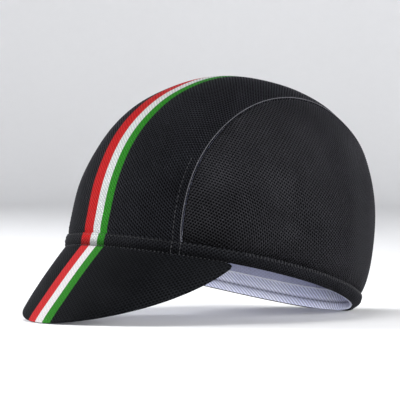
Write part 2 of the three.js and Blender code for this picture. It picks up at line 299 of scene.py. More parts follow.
# %% Mesh builders
def make_piece(name, points, faces, places, materials, finish_of_face=0):
    """Make a mesh from points and four-cornered faces. Each face corner has its own place on the
    cloth, in metres, as its UV. Where there are two materials, each face has its one's number."""
    mesh = bpy.data.meshes.new(name)
    mesh.from_pydata(points.reshape(-1, 3).tolist(), [], faces.tolist())
    mesh.uv_layers.new(name="cloth").data.foreach_set("uv", places.astype(np.float32).ravel())
    for material in materials:
        mesh.materials.append(material)
    finishes = np.zeros(len(faces), np.int32) + np.asarray(finish_of_face, np.int32)
    mesh.polygons.foreach_set("material_index", finishes)
    mesh.polygons.foreach_set("use_smooth", np.ones(len(faces), bool))
    mesh.update()
    piece = bpy.data.objects.new(name, mesh)
    bpy.context.scene.collection.objects.link(piece)
    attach(piece, "root")
    print(name, "has", len(faces), "faces")
    return piece


def sheet_faces(rows, columns):
    """Faces of a sheet whose outer points come first and whose inner points follow: both faces
    and the four borders. The second array says which faces lie inside."""
    index = np.arange(rows * columns).reshape(rows, columns)
    under = index + rows * columns

    def cells(grid):
        return np.stack([grid[:-1, :-1], grid[:-1, 1:], grid[1:, 1:], grid[1:, :-1]], -1).reshape(-1, 4)

    def border(first, second):
        return np.stack([second[:-1], second[1:], first[1:], first[:-1]], -1)

    outside, inside = cells(index), cells(under)[:, ::-1]
    edges = [
        border(index[0], under[0]),
        border(under[-1], index[-1]),
        border(under[:, 0], index[:, 0]),
        border(index[:, -1], under[:, -1]),
    ]
    faces = np.concatenate([outside, inside, *edges])
    is_inside = np.zeros(len(faces), int)
    is_inside[len(outside):len(outside) + len(inside)] = 1
    return faces, is_inside


def make_sheet(name, outer, inner, places, materials):
    """A sheet of cloth from its outer and inner grid, in metres, and the cloth place of each."""
    faces, is_inside = sheet_faces(*outer.shape[:2])
    points = np.concatenate([outer.reshape(-1, 3), inner.reshape(-1, 3)])
    both = np.concatenate([places.reshape(-1, 2), places.reshape(-1, 2)])
    return make_piece(name, points, faces, both[faces.ravel()], materials, is_inside)


def make_ring(name, loops, material):
    """A closed band from loops of section points at even steps round the head. Its places on the
    cloth are the mean lengths round the head and round the section."""
    count, size = loops.shape[:2]
    closed = np.concatenate([loops, loops[:1]])
    closed = np.concatenate([closed, closed[:, :1]], axis=1)
    along = arc_lengths(closed, 0).mean(axis=1, keepdims=True)
    across = arc_lengths(closed, 1).mean(axis=0, keepdims=True)
    places = np.stack(np.broadcast_arrays(along, across), -1).reshape(-1, 2)
    i, j = np.meshgrid(np.arange(count), np.arange(size), indexing="ij")
    corners = [(i, j), (i + 1, j), (i + 1, j + 1), (i, j + 1)]
    faces = np.stack([(a % count) * size + b % size for a, b in corners], -1).reshape(-1, 4)
    spots = np.stack([a * (size + 1) + b for a, b in corners], -1).reshape(-1)
    return make_piece(name, loops, faces, places[spots], [material])


print("mesh builders ready")

# %% [markdown]
# ## Shared effects for the cloth
# The crown is a knitted mesh with small staggered dimples, the sweatband has slanting ribs, and
# one tricolour stripe runs over the peak, the headband and the crown. Each effect is a node group
# of its own with named inputs, and every cloth that needs it uses the same group.

# %% Node groups
KNIT_ACROSS, KNIT_ALONG = 0.0028, 0.0022  # from dimple to dimple on the real cloth, in metres
STRIPE_EDGES = ("Red starts", "White starts", "Green starts", "Green ends")
SOFT_EDGE = 0.00012  # half the width over which one dye runs into the next


def new_group(name, inputs, outputs):
    """An empty node group with named sockets, and its input and output nodes."""
    group = bpy.data.node_groups.new(name, "ShaderNodeTree")
    for label, kind, value in inputs:
        socket = group.interface.new_socket(label, in_out="INPUT", socket_type=kind)
        if value is not None:
            socket.default_value = value
    for label, kind in outputs:
        group.interface.new_socket(label, in_out="OUTPUT", socket_type=kind)
    return group, group.nodes.new("NodeGroupInput"), group.nodes.new("NodeGroupOutput")


def calculate(tree, operation, first, second=None, third=None):
    """A math node whose inputs are sockets or plain numbers, and its result."""
    node = tree.nodes.new("ShaderNodeMath")
    node.operation = operation
    for socket, value in zip(node.inputs, (first, second, third)):
        if isinstance(value, bpy.types.NodeSocket):
            tree.links.new(value, socket)
        elif value is not None:
            socket.default_value = value
    return node.outputs[0]


def split(tree, vector):
    """The X, Y and Z of a vector."""
    parts = tree.nodes.new("ShaderNodeSeparateXYZ")
    tree.links.new(vector, parts.inputs[0])
    return [parts.outputs[axis] for axis in "XYZ"]


def map_range(tree, value, low, high, to_low=0.0, to_high=1.0):
    """A smooth step from one value to another while the input goes from low to high."""
    node = tree.nodes.new("ShaderNodeMapRange")
    node.interpolation_type = "SMOOTHSTEP"
    for label, number in (("From Min", low), ("From Max", high), ("To Min", to_low), ("To Max", to_high)):
        node.inputs[label].default_value = number
    tree.links.new(value, node.inputs["Value"])
    return node.outputs["Result"]


def mix_colour(tree, share, first, second):
    """One colour blended into another by a share."""
    node = tree.nodes.new("ShaderNodeMix")
    node.data_type = "RGBA"
    for label, value in (("Factor", share), ("A", first), ("B", second)):
        socket = [s for s in node.inputs if s.name == label and s.enabled][0]
        if isinstance(value, bpy.types.NodeSocket):
            tree.links.new(value, socket)
        else:
            socket.default_value = value if label == "Factor" else (*value, 1.0)
    return [s for s in node.outputs if s.enabled][0]


def dimpled_mesh_group():
    """Staggered dimples: three cosines, one along each diagonal and a weaker one upright, have
    their common peaks in a staggered lattice. Lean makes one diagonal stronger than the other."""
    group, source, result = new_group(
        "dimpled_mesh",
        [("Place", "NodeSocketVector", None), ("Across", "NodeSocketFloat", KNIT_ACROSS),
         ("Along", "NodeSocketFloat", KNIT_ALONG), ("Lean", "NodeSocketFloat", 0.0)],
        [("Dimple", "NodeSocketFloat"), ("Height", "NodeSocketFloat")],
    )
    turns = []
    for place, pitch in zip(split(group, source.outputs["Place"]), ("Across", "Along")):
        share = calculate(group, "DIVIDE", place, source.outputs[pitch])
        turns.append(calculate(group, "MULTIPLY", share, 2 * math.pi))
    rising = calculate(group, "COSINE", calculate(group, "ADD", *turns))
    falling = calculate(group, "COSINE", calculate(group, "SUBTRACT", *turns))
    upright = calculate(group, "COSINE", calculate(group, "MULTIPLY", turns[0], 2.0))
    more = calculate(group, "ADD", 1.0, source.outputs["Lean"])
    less = calculate(group, "SUBTRACT", 1.0, source.outputs["Lean"])
    total = calculate(group, "MULTIPLY_ADD", rising, less, calculate(group, "MULTIPLY", upright, 0.7))
    total = calculate(group, "MULTIPLY_ADD", falling, more, total)
    dimple = map_range(group, total, -1.1, 1.3)
    group.links.new(dimple, result.inputs["Dimple"])
    group.links.new(calculate(group, "SUBTRACT", 1.0, dimple), result.inputs["Height"])
    return group


def slanting_ribs_group():
    """Ribs along a slant: a cosine of the place turned by an angle."""
    group, source, result = new_group(
        "slanting_ribs",
        [("Place", "NodeSocketVector", None), ("Pitch", "NodeSocketFloat", 0.0016),
         ("Slant", "NodeSocketFloat", 1.0)],
        [("Height", "NodeSocketFloat")],
    )
    x, y, _ = split(group, source.outputs["Place"])
    leaning = calculate(group, "MULTIPLY_ADD", y, source.outputs["Slant"], x)
    turns = calculate(group, "DIVIDE", leaning, source.outputs["Pitch"])
    wave = calculate(group, "COSINE", calculate(group, "MULTIPLY", turns, 2 * math.pi))
    group.links.new(map_range(group, wave, -1.0, 0.8), result.inputs["Height"])
    return group


def tricolour_group():
    """Three bands side by side, told apart by how far across the cap they lie: a colour, and 1
    inside the stripe and 0 outside it. Each edge is a soft step a quarter of a millimetre wide."""
    even_edges = zip(STRIPE_EDGES, (-0.0105, -0.0035, 0.0035, 0.0105))
    group, source, result = new_group(
        "tricolour",
        [("Across", "NodeSocketFloat", 0.0)]
        + [(edge, "NodeSocketFloat", at) for edge, at in even_edges]
        + [(dye, "NodeSocketColor", None) for dye in ("Red", "White", "Green")],
        [("Colour", "NodeSocketColor"), ("Inside", "NodeSocketFloat")],
    )
    past = {}
    for edge in STRIPE_EDGES:
        beyond = calculate(group, "SUBTRACT", source.outputs["Across"], source.outputs[edge])
        past[edge] = map_range(group, beyond, -SOFT_EDGE, SOFT_EDGE)
    colour = mix_colour(group, past["White starts"], source.outputs["Red"], source.outputs["White"])
    colour = mix_colour(group, past["Green starts"], colour, source.outputs["Green"])
    inside = calculate(group, "SUBTRACT", past["Red starts"], past["Green ends"])
    group.links.new(colour, result.inputs["Colour"])
    group.links.new(inside, result.inputs["Inside"])
    return group


def mottling_group():
    """Slow and fine noise together, from 0 to 1, for cloth that is never one even tone."""
    group, source, result = new_group(
        "mottling",
        [("Place", "NodeSocketVector", None), ("Coarse", "NodeSocketFloat", 40.0),
         ("Fine", "NodeSocketFloat", 900.0)],
        [("Tone", "NodeSocketFloat")],
    )
    tones = []
    for label in ("Coarse", "Fine"):
        noise = group.nodes.new("ShaderNodeTexNoise")
        noise.inputs["Detail"].default_value = 2.0
        group.links.new(source.outputs["Place"], noise.inputs["Vector"])
        group.links.new(source.outputs[label], noise.inputs["Scale"])
        tones.append(noise.outputs["Fac"])
    both = calculate(group, "MULTIPLY_ADD", tones[0], 0.5, calculate(group, "MULTIPLY", tones[1], 0.5))
    group.links.new(map_range(group, both, 0.3, 0.7), result.inputs["Tone"])
    return group


GROUPS = {
    group.name: group
    for group in (dimpled_mesh_group(), slanting_ribs_group(), tricolour_group(), mottling_group())
}
print("node groups:", sorted(GROUPS))

# %% [markdown]
# ## Materials
# Black knitwear isn't black everywhere: its fuzz catches light at a glancing angle, so the cap
# looks grey-violet along its outline. The shader's sheen does that, and the mesh's dimples are
# darker and duller than the yarn between them. The stripe is dyed into the same cloth, so the
# dimples show through it. Soft shade gathers where cloth is tucked in, and it is coloured in.

# %% Materials
BLACK = (0.0, 0.0, 0.0)


def group_node(tree, name, **values):
    """A node that uses a shared group, with sockets linked or set by name."""
    node = tree.nodes.new("ShaderNodeGroup")
    node.node_tree = GROUPS[name]
    for label, value in values.items():
        socket = node.inputs[label]
        if isinstance(value, bpy.types.NodeSocket):
            tree.links.new(value, socket)
        else:
            socket.default_value = value
    return node


def new_material(name, roughness, sheen, sheen_tint, sheen_roughness, specular=0.25):
    """A material with its Principled shader's plain numbers set, and the nodes to work with."""
    material = bpy.data.materials.new(name)
    material.use_nodes = True
    tree = material.node_tree
    shader = tree.nodes["Principled BSDF"]
    shader.inputs["Roughness"].default_value = roughness
    shader.inputs["Specular IOR Level"].default_value = specular
    shader.inputs["Sheen Weight"].default_value = sheen
    shader.inputs["Sheen Tint"].default_value = (*sheen_tint, 1.0)
    shader.inputs["Sheen Roughness"].default_value = sheen_roughness
    return material, tree, shader


def cloth_place(tree):
    """The place along the cloth, from the piece's own UV map."""
    node = tree.nodes.new("ShaderNodeUVMap")
    node.uv_map = "cloth"
    return node.outputs["UV"]


def cap_place(tree):
    """The place in the finished cap's frame, in metres."""
    return tree.nodes.new("ShaderNodeTexCoord").outputs["Object"]


def mottled(tree, low, high, coarse, fine):
    """Two colours blended by slow and fine noise."""
    tone = group_node(tree, "mottling", Place=cap_place(tree), Coarse=coarse, Fine=fine)
    return mix_colour(tree, tone.outputs["Tone"], low, high)


def add_bump(tree, shader, height, depth):
    """Tilt the shading by a height that stands so many metres high."""
    bump = tree.nodes.new("ShaderNodeBump")
    bump.inputs["Distance"].default_value = depth
    tree.links.new(height, bump.inputs["Height"])
    tree.links.new(bump.outputs["Normal"], shader.inputs["Normal"])


PRINT_GONE_BY, PRINT_WHOLE_FROM = -0.04, -0.05  # where a stripe that is only in front ends, in Y


def striped(tree, plain, stops, dyes, front_only):
    """The plain colour with the tricolour stripe along the middle of the cap. Each stop gives the
    stripe's four edges and the stretch of Y over which the edges before it drift into them."""
    x, y, _ = split(tree, cap_place(tree))
    across = calculate(tree, "SUBTRACT", x, MOVED[0] / 1000)
    edges = [edge / 1000 for edge in stops[0][1]]
    for (_, before), ((start, end), after) in zip(stops, stops[1:]):
        for k, (old, new) in enumerate(zip(before, after)):
            drift = map_range(tree, y, start / 1000, end / 1000, 0.0, (new - old) / 1000)
            edges[k] = calculate(tree, "ADD", drift, edges[k])
    values = dict(zip(STRIPE_EDGES, edges))
    values.update((word, (*dye, 1.0)) for word, dye in zip(("Red", "White", "Green"), dyes))
    stripe = group_node(tree, "tricolour", Across=across, **values)
    inside = stripe.outputs["Inside"]
    if front_only:
        inside = calculate(tree, "MULTIPLY", inside, map_range(tree, y, PRINT_GONE_BY, PRINT_WHOLE_FROM))
    return mix_colour(tree, inside, plain, stripe.outputs["Colour"]), inside


TUCKED_SHADE_REACH = 6.5
TUCKED_SHADE_FRONT, TUCKED_SHADE_BACK = 0.85, 0.2
TUCKED_SHADE_LESS_FROM, TUCKED_SHADE_LEAST_BY = 0.0, 0.06  # towards the back, in Y
HEM_SHADE = 0.6
HEM_SHADE_FROM, HEM_SHADE_GONE_BY = 0.001, 0.0062  # up the hem's section, in metres


def tucked_shade(tree):
    """How deep in shade the side panels lie above the headband, from 0 to 1: an exponential of the
    height over the band, which is z cos(tip) + y sin(tip) in the untipped rim's frame, less the
    rim's rise and the band's height. It is weaker towards the back."""
    place = split(tree, cap_place(tree))
    x, y, z = (calculate(tree, "SUBTRACT", value, moved / 1000) for value, moved in zip(place, MOVED))
    height = calculate(tree, "MULTIPLY", z, math.cos(TIP))
    height = calculate(tree, "MULTIPLY_ADD", y, math.sin(TIP), height)
    outness = calculate(tree, "DIVIDE", x, RIM_HALF_WIDTH / 1000)
    rise = calculate(tree, "MULTIPLY", outness, outness)
    rise = calculate(tree, "MULTIPLY", rise, RIM_RISE_AT_SIDES / 1000)
    over_band = calculate(tree, "SUBTRACT", height, rise)
    over_band = calculate(tree, "SUBTRACT", over_band, HEADBAND_HEIGHT / 1000)
    over_band = calculate(tree, "MAXIMUM", over_band, 0.0)
    fading = calculate(tree, "EXPONENT", calculate(tree, "DIVIDE", over_band, -TUCKED_SHADE_REACH / 1000))
    strength = map_range(
        tree, place[1], TUCKED_SHADE_LESS_FROM, TUCKED_SHADE_LEAST_BY,
        TUCKED_SHADE_FRONT, TUCKED_SHADE_BACK,
    )
    return calculate(tree, "MULTIPLY", fading, strength)


def hem_shade(tree):
    """How deep in shade the headband's lower edge lies: a smooth step up its section."""
    _, up_the_section, _ = split(tree, cloth_place(tree))
    return map_range(tree, up_the_section, HEM_SHADE_FROM, HEM_SHADE_GONE_BY, HEM_SHADE, 0.0)


def mesh_cloth(name, dark, light, stripe=None, front_only=False, *, hole, depth, lean=0.0, sheen=0.038,
               shade_of=None):
    """Dimpled black knit, with or without the stripe. The dimples are darkened by the share hole,
    less where the cloth is dyed, and the whole by what shade_of gives."""
    material, tree, shader = new_material(name, 0.7, sheen, (0.8, 0.79, 0.95), 0.2, specular=0.015)
    mesh = group_node(
        tree, "dimpled_mesh", Place=cloth_place(tree), Across=KNIT_ACROSS, Along=KNIT_ALONG, Lean=lean,
    )
    colour = mottled(tree, dark, light, 35.0, 1400.0)
    shade = calculate(tree, "MULTIPLY", mesh.outputs["Dimple"], hole)
    if stripe:
        colour, inside = striped(tree, colour, *stripe, front_only)
        kept = map_range(tree, inside, 0.0, 1.0, 1.0, 0.22)
        shade = calculate(tree, "MULTIPLY", shade, kept)
    colour = mix_colour(tree, shade, colour, BLACK)
    if shade_of:
        colour = mix_colour(tree, shade_of(tree), colour, BLACK)
    tree.links.new(colour, shader.inputs["Base Color"])
    rough = map_range(tree, mesh.outputs["Dimple"], 0.0, 1.0, 0.6, 0.9)
    tree.links.new(rough, shader.inputs["Roughness"])
    add_bump(tree, shader, mesh.outputs["Height"], depth)
    return material


def lining_cloth(name, low, high):
    """Pale lining: the back of the knit, with the dimples as faint bumps. Its given colours are partly
    painted shade.
    """
    material, tree, shader = new_material(name, 0.85, 0.1, (0.9, 0.9, 1.0), 0.5)
    mesh = group_node(tree, "dimpled_mesh", Place=cloth_place(tree), Across=KNIT_ACROSS, Along=KNIT_ALONG)
    shade = calculate(tree, "MULTIPLY", mesh.outputs["Dimple"], 0.18)
    colour = mix_colour(tree, shade, mottled(tree, low, high, 30.0, 700.0), (0.1, 0.1, 0.14))
    tree.links.new(colour, shader.inputs["Base Color"])
    add_bump(tree, shader, mesh.outputs["Height"], 0.00012)
    return material


def nearness(tree, value, at, half_width):
    """1 where a value is at a place, falling off as a Gaussian."""
    away = calculate(tree, "DIVIDE", calculate(tree, "SUBTRACT", value, at), half_width)
    squared = calculate(tree, "MULTIPLY", away, away)
    return calculate(tree, "EXPONENT", calculate(tree, "MULTIPLY", squared, -1.0))


def ribbed_cloth(name, low, high, edge_at, crease_at):
    """The sweatband's towelling, with slanting ribs. Its rolled edge is smooth and is made paler by a
    painted highlight.
    Its stitched crease is darkened by painted shade. Each lies at its place across the cloth, told by a
    Gaussian there."""
    material, tree, shader = new_material(name, 0.9, 0.2, (0.9, 0.9, 1.0), 0.5)
    place = cloth_place(tree)
    ribs = group_node(tree, "slanting_ribs", Place=place, Pitch=0.0024, Slant=1.25)
    _, across, _ = split(tree, place)
    edge_smooth_and_highlight = nearness(tree, across, edge_at, 0.0007)
    crease_painted_shade = nearness(tree, across, crease_at, 0.0011)
    shade = map_range(tree, ribs.outputs["Height"], 0.0, 1.0, 0.52, 0.0)
    shade = calculate(tree, "MULTIPLY", shade, calculate(tree, "SUBTRACT", 1.0, edge_smooth_and_highlight))
    colour = mix_colour(tree, shade, mottled(tree, low, high, 45.0, 1500.0), (0.12, 0.12, 0.2))
    # Painted shade: the crease is darkened towards dark slate, where shade gathers in the fold
    colour = mix_colour(tree, calculate(tree, "MULTIPLY", crease_painted_shade, 0.62), colour, (0.08, 0.08, 0.13))
    # Painted highlight: the rolled edge is lightened towards near white, where it catches the light
    colour = mix_colour(tree, calculate(tree, "MULTIPLY", edge_smooth_and_highlight, 0.8), colour, (0.95, 0.96, 1.0))
    tree.links.new(colour, shader.inputs["Base Color"])
    add_bump(tree, shader, ribs.outputs["Height"], 0.0003)
    return material


def thread(name, colour):
    """Sewing thread: its tone wanders from its colour to six tenths of it, and fine slanting ribs
    show its twist."""
    material, tree, shader = new_material(name, 0.6, 0.1, (1.0, 1.0, 1.0), 0.4)
    dark = tuple(0.6 * c for c in colour)
    tree.links.new(mottled(tree, dark, colour, 500.0, 3000.0), shader.inputs["Base Color"])
    ribs = group_node(tree, "slanting_ribs", Place=cap_place(tree), Pitch=0.0003, Slant=1.0)
    add_bump(tree, shader, ribs.outputs["Height"], 0.00004)
    return material


# %% [markdown]
# Each stripe is a list of stops and its three dyes. A stop has the places across the cap, in
# millimetres, where red, white and green start and where green ends. They drift a little from
# the front to the top, as the photograph shows them, and are even over the back.

# %% The stripe's stops and the finishes
CROWN_STRIPE = (
    [
        (None, (-12.2, -2.6, 3.9, 9.8)),
        ((-80, -20), (-12.8, -1.8, 4.9, 10.3)),
        ((-10, 90), (-10.5, -3.5, 3.5, 10.5)),
    ],
    [(0.30, 0.0065, 0.0065), (0.395, 0.41, 0.405), (0.0142, 0.13, 0.0085)],
)
PEAK_STRIPE = (
    [(None, (-12.6, -4.1, 2.7, 9.3)), ((-121, -108), (-11.4, -3.0, 3.6, 10.1))],
    [(0.305, 0.015, 0.0165), (0.425, 0.41, 0.415), (0.0175, 0.116, 0.012)],
)
FINISH = {
    "crown": mesh_cloth(
        "crown_mesh", (0.0078, 0.0078, 0.009), (0.0205, 0.0205, 0.0232),
        hole=1.0, depth=0.0009, shade_of=tucked_shade,
    ),
    "striped": mesh_cloth(
        "crown_mesh_striped", (0.0042, 0.0045, 0.0056), (0.0115, 0.0121, 0.0147), CROWN_STRIPE,
        hole=1.0, depth=0.0007, lean=-0.4, sheen=0.05,
    ),
    "band": mesh_cloth(
        "headband_knit", (0.0046, 0.0048, 0.0058), (0.012, 0.0125, 0.0147), CROWN_STRIPE, True,
        hole=0.8, depth=0.0005, shade_of=hem_shade,
    ),
    "peak_top": mesh_cloth(
        "peak_cloth_striped", (0.0032, 0.0035, 0.0042), (0.0075, 0.008, 0.0092), PEAK_STRIPE,
        hole=0.8, depth=0.00018,
    ),
    "peak_under": mesh_cloth(
        "peak_cloth", (0.0035, 0.0035, 0.0042), (0.0075, 0.0075, 0.009), hole=0.8, depth=0.00018,
    ),
    # The lining's grey lavender is the knit's pale back, dimmed with painted shade for the shade inside the
    # crown
    "lining": lining_cloth("crown_lining", (0.40, 0.41, 0.56), (0.52, 0.54, 0.72)),
    "thread_hem": thread("thread_hem", (0.016, 0.016, 0.019)),
    "thread_black": thread("thread_black", (0.003, 0.003, 0.004)),
    "thread_grey": thread("thread_grey", (0.078, 0.078, 0.09)),
    "thread_dim": thread("thread_dim", (0.024, 0.024, 0.028)),
    "thread_slate": thread("thread_slate", (0.06, 0.06, 0.09)),
}
print(len(FINISH), "materials")

# %% [markdown]
# ## The centre panel
# One strip of cloth runs from the peak over the head to the back. Its long edges are turned under
# and stitched over the side panels, which leaves a thin raised ridge. The panel is a grid of
# lines over the top: the plain cloth is measured first, and the ridge, a faint row of topstitching
# and the puckers near the headband are then raised from those measured distances.

# %% Puckers, groove and swells, which every panel has
CROWN_HIDDEN_BELOW = 3.6  # how far the crown's cloth runs down behind the headband
CROWN_EDGE_HEIGHT = HEADBAND_HEIGHT - CROWN_HIDDEN_BELOW
HALF_SEAM = 0.08 / RIM_HALF_WIDTH  # as a share: how far each panel's edge lies off the seam's line
DEEPEST = 0.9  # no groove goes deeper into the cloth than this
PUCKER_STEPS = 6.1, 9.7
PUCKER_HEIGHT, PUCKER_REACH = 0.22, 5.5
GROOVE_DEPTH, GROOVE_LESS_IN_FRONT, GROOVE_HALF_HEIGHT = 1.0, 0.65, 1.7
SOFTNESS = 0.12


def bell(distance, half_width):
    """A Gaussian: e to the power of minus the square of distance over half width."""
    return np.exp(-((distance / half_width) ** 2))


def closer_at_ends(count):
    """Shares from 0 to 1, s - 0.5 sin(2 pi s) / (2 pi), so closer together at both ends."""
    even = np.linspace(0, 1, count + 1)
    return even - 0.5 * np.sin(2 * math.pi * even) / (2 * math.pi)


def ring_length_at(around):
    """The length along the rim from the front to an angle, in millimetres."""
    angles = np.linspace(-math.pi, math.pi, 1441)
    x, y = rim_plan(angles)
    length = arc_lengths(np.stack([x, y], -1), 0)
    length = length - np.interp(0.0, angles, length)
    return np.interp(around, angles, length)


def puckers(around, height):
    """Short gathers over the headband: two sines along the band that fade upwards, none at the
    front, where the band has no elastic."""
    along = ring_length_at(around)
    gathered = (1 - frontness(around)) ** 2
    first, second = (2 * math.pi * along / step for step in PUCKER_STEPS)
    waves = np.sin(first) + 0.5 * np.sin(second + 1.0)
    return PUCKER_HEIGHT * gathered * waves * np.exp(-np.maximum(height - HEADBAND_HEIGHT, 0) / PUCKER_REACH)


def groove_over_band(around, height):
    """The seam pulls the cloth in just above the headband, less at the front: a Gaussian."""
    depth = GROOVE_DEPTH - GROOVE_LESS_IN_FRONT * frontness(around)
    return -depth * bell(height - HEADBAND_HEIGHT, GROOVE_HALF_HEIGHT)


def softness(points):
    """Slow uneven swells of the cloth, the sum of three sines across the cap."""
    x, y, z = points[..., 0], points[..., 1], points[..., 2]
    waves = np.sin(0.11 * x + 0.05 * z) + np.sin(0.09 * y - 0.07 * z + 1.3)
    return SOFTNESS * (waves + np.sin(0.13 * z + 0.06 * x - 0.8))


def sewn_cloth(directions, plain, seam_relief):
    """A panel's outer and inner face, laid on the table: its seam's relief, the puckers, the slow
    swells and the groove raise the outer one, and the inner one lies a thickness below it."""
    around, _ = angles_of(directions)
    height = plain[..., 2] - rim_rise(around)
    raised = seam_relief + puckers(around, height) + softness(plain)
    raised = np.maximum(raised + groove_over_band(around, height), -DEEPEST)
    inner = crown_point(directions, -CLOTH_THICKNESS)
    return lay_on_table(crown_point(directions, raised)), lay_on_table(inner)


RIM_ROUND = float(ring_length_at(math.pi) - ring_length_at(-math.pi))
print("the rim is", round(RIM_ROUND), "mm round")

# %% Centre panel
CENTRE_ROWS, CENTRE_COLUMNS = 280, 96
RIDGE_HEIGHT, RIDGE_FROM_EDGE, RIDGE_HALF_WIDTH = 0.32, 0.9, 0.75
EDGE_DIP, EDGE_DIP_HALF_WIDTH = 0.45, 0.35
TOPSTITCH_FROM_EDGE, TOPSTITCH_DIP, TOPSTITCH_HALF_WIDTH = 5.2, 0.16, 0.6


def centre_panel_grid(rows, columns):
    """Directions of the centre panel: rows along it, columns from right to left across it."""
    sides = np.linspace(-1, 1, columns + 1)

    def share_of(over):
        return sides * (panel_edge(over) - HALF_SEAM)

    start = over_at_height(share_of, False, CROWN_EDGE_HEIGHT, columns + 1)
    end = over_at_height(share_of, True, CROWN_EDGE_HEIGHT, columns + 1)
    over = start + (end - start) * closer_at_ends(rows)[:, None]
    return direction_over(over, share_of(over)), over


directions, over = centre_panel_grid(CENTRE_ROWS, CENTRE_COLUMNS)
plain = crown_point(directions)
panel_across = arc_lengths(plain, 1)
from_edge = np.minimum(panel_across, panel_across[:, -1:] - panel_across)
middle = CENTRE_COLUMNS // 2
from_middle = panel_across - panel_across[:, middle:middle + 1]
along = arc_lengths(plain, 0)[:, middle:middle + 1] + 0 * panel_across
centre_places = np.stack([from_middle, along], -1) / 1000
ridge = RIDGE_HEIGHT * bell(from_edge - RIDGE_FROM_EDGE, RIDGE_HALF_WIDTH)
ridge = ridge - EDGE_DIP * bell(from_edge, EDGE_DIP_HALF_WIDTH)
nearness_to_front = np.clip(1.25 - over / math.radians(60), 0, 1)
topstitch_dip = -TOPSTITCH_DIP * bell(from_edge - TOPSTITCH_FROM_EDGE, TOPSTITCH_HALF_WIDTH)
centre_outer, centre_inner = sewn_cloth(directions, plain, ridge + topstitch_dip * nearness_to_front)
centre_panel = make_sheet(
    "cloth_centre_panel", centre_outer, centre_inner, centre_places,
    [FINISH["striped"], FINISH["lining"]],
)
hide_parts("crown_centre_panel")

# %% [markdown]
# ## The side panels
# Each side is a half moon: a straight edge in the headband and a round edge along the seam. Its
# rows blend from the headband up to the seam. The cloth dips where it goes under the centre
# panel's ridge, which gives the seam its dark line.

# %% Side panels
SIDE_ROWS, SIDE_COLUMNS = 110, 220
SEAM_DIP, SEAM_DIP_HALF_WIDTH = 0.75, 1.1
SECOND_DIP, SECOND_DIP_FROM_SEAM, SECOND_DIP_HALF_WIDTH = 0.12, 3.2, 1.4
DOME_RADIUS = 95


def side_panel_grid(side, rows, columns):
    """Directions of a side panel: rows from the headband to the seam, columns from the front.
    The rows lie closer together towards both, half as much as a cosine would set them."""

    def share_of(over):
        return side * (panel_edge(over) + HALF_SEAM)

    start = over_at_height(share_of, False, CROWN_EDGE_HEIGHT, 1)
    end = over_at_height(share_of, True, CROWN_EDGE_HEIGHT, 1)
    front_corner, _ = angles_of(direction_over(start, share_of(start)))
    back_corner, _ = angles_of(direction_over(end, share_of(end)))
    shares = closer_at_ends(columns)
    over = start + (end - start) * shares
    around = front_corner + (back_corner - front_corner) * shares
    low = direction_at(around, up_at_height(around, CROWN_EDGE_HEIGHT))
    high = direction_over(over, share_of(over))
    even = np.linspace(0, 1, rows + 1)
    rise = (1 - np.cos(math.pi * even)) / 2
    rise = (0.5 * rise + 0.5 * even)[:, None, None]
    return unit(low + (high - low) * rise)


def laid_flat(points, middle, outward):
    """A domed panel's points as places on flat cloth: each keeps its direction from the middle
    and its distance along the dome, which for a chord c on a radius r is 2 r arcsin(c / 2 r). The
    grain stands upright on the table, as the weave does in the photograph."""
    upright = np.array([0.0, -math.sin(TIP), math.cos(TIP)])
    upright = unit(upright - outward * (upright @ outward))
    sideways = np.cross(upright, outward)
    away = points - middle
    level = np.stack([away @ sideways, away @ upright], -1)
    chord = np.linalg.norm(away, axis=-1, keepdims=True)
    arc = 2 * DOME_RADIUS * np.arcsin(np.minimum(chord / (2 * DOME_RADIUS), 1))
    return unit(level) * arc


def make_side_panel(name, side, node):
    """One side panel, with its dip along the seam: the piece, its cloth places and outer face."""
    directions = side_panel_grid(side, SIDE_ROWS, SIDE_COLUMNS)
    plain = crown_point(directions)
    up_the_panel = arc_lengths(plain, 0)
    from_seam = up_the_panel[-1:] - up_the_panel
    dip = -SEAM_DIP * bell(from_seam, SEAM_DIP_HALF_WIDTH)
    dip = dip - SECOND_DIP * bell(from_seam - SECOND_DIP_FROM_SEAM, SECOND_DIP_HALF_WIDTH)
    outer, inner = sewn_cloth(directions, plain, dip)
    middle = SIDE_ROWS // 2, SIDE_COLUMNS // 2
    places = laid_flat(plain, plain[middle], outward_at(directions[middle])) / 1000
    if side < 0:
        outer, inner, places = outer[:, ::-1], inner[:, ::-1], places[:, ::-1]
    piece = make_sheet(name, outer, inner, places, [FINISH["crown"], FINISH["lining"]])
    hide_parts(node)
    return piece, places, outer


side_panels = [
    make_side_panel("cloth_side_panel_left", 1, "crown_side_panel_left"),
    make_side_panel("cloth_side_panel_right", -1, "crown_side_panel_right"),
]

# %% [markdown]
# ## The bands
# The headband is a folded hem. Behind the peak it holds elastic, so its lower edge draws in and
# its upper edge is pulled into small scallops by the stitches. The sweatband lies inside, against
# the lining, with a stitched seam that presses a crease into it.

# %% Headband
RING_COLUMNS = 1440
STITCHES_ROUND = 240  # scallops of the headband, about one to each stitch over the elastic
SCALLOP_DROP, SCALLOP_DENT = 0.42, 0.16
LINING_GAP = 0.08  # between the headband's inner face and the crown's cloth behind it
SEAM_RIDGE, SEAM_RIDGE_HALF_WIDTH = 0.22, 0.7
LOWERED_OVER_PEAK = 0.42
LOWERED_OVER = 0.03  # radians in which the band comes down to the peak at its ends
BULGE = 0.75
WAVE, WAVE_STEP = 0.12, 5.3
PULL_IN_FRONT = 0.35  # the scallops' depth at the front, as a share of their depth at the back

# The headband's outer face from the bottom up: height, how far out, and share of the lean inwards
HEADBAND_FACE = [
    (0.0, -0.5, 1.0), (0.25, -0.15, 0.95), (0.9, 0.15, 0.8), (1.8, 0.33, 0.55), (2.7, 0.43, 0.32),
    (3.6, 0.46, 0.15), (4.5, 0.44, 0.08), (5.3, 0.36, 0.03), (5.9, 0.26, 0.0), (6.3, 0.12, 0.0),
    (6.7, 0.14, 0.0), (7.05, 0.12, 0.0), (7.3, -0.02, 0.0), (7.4, -0.2, 0.0),
]


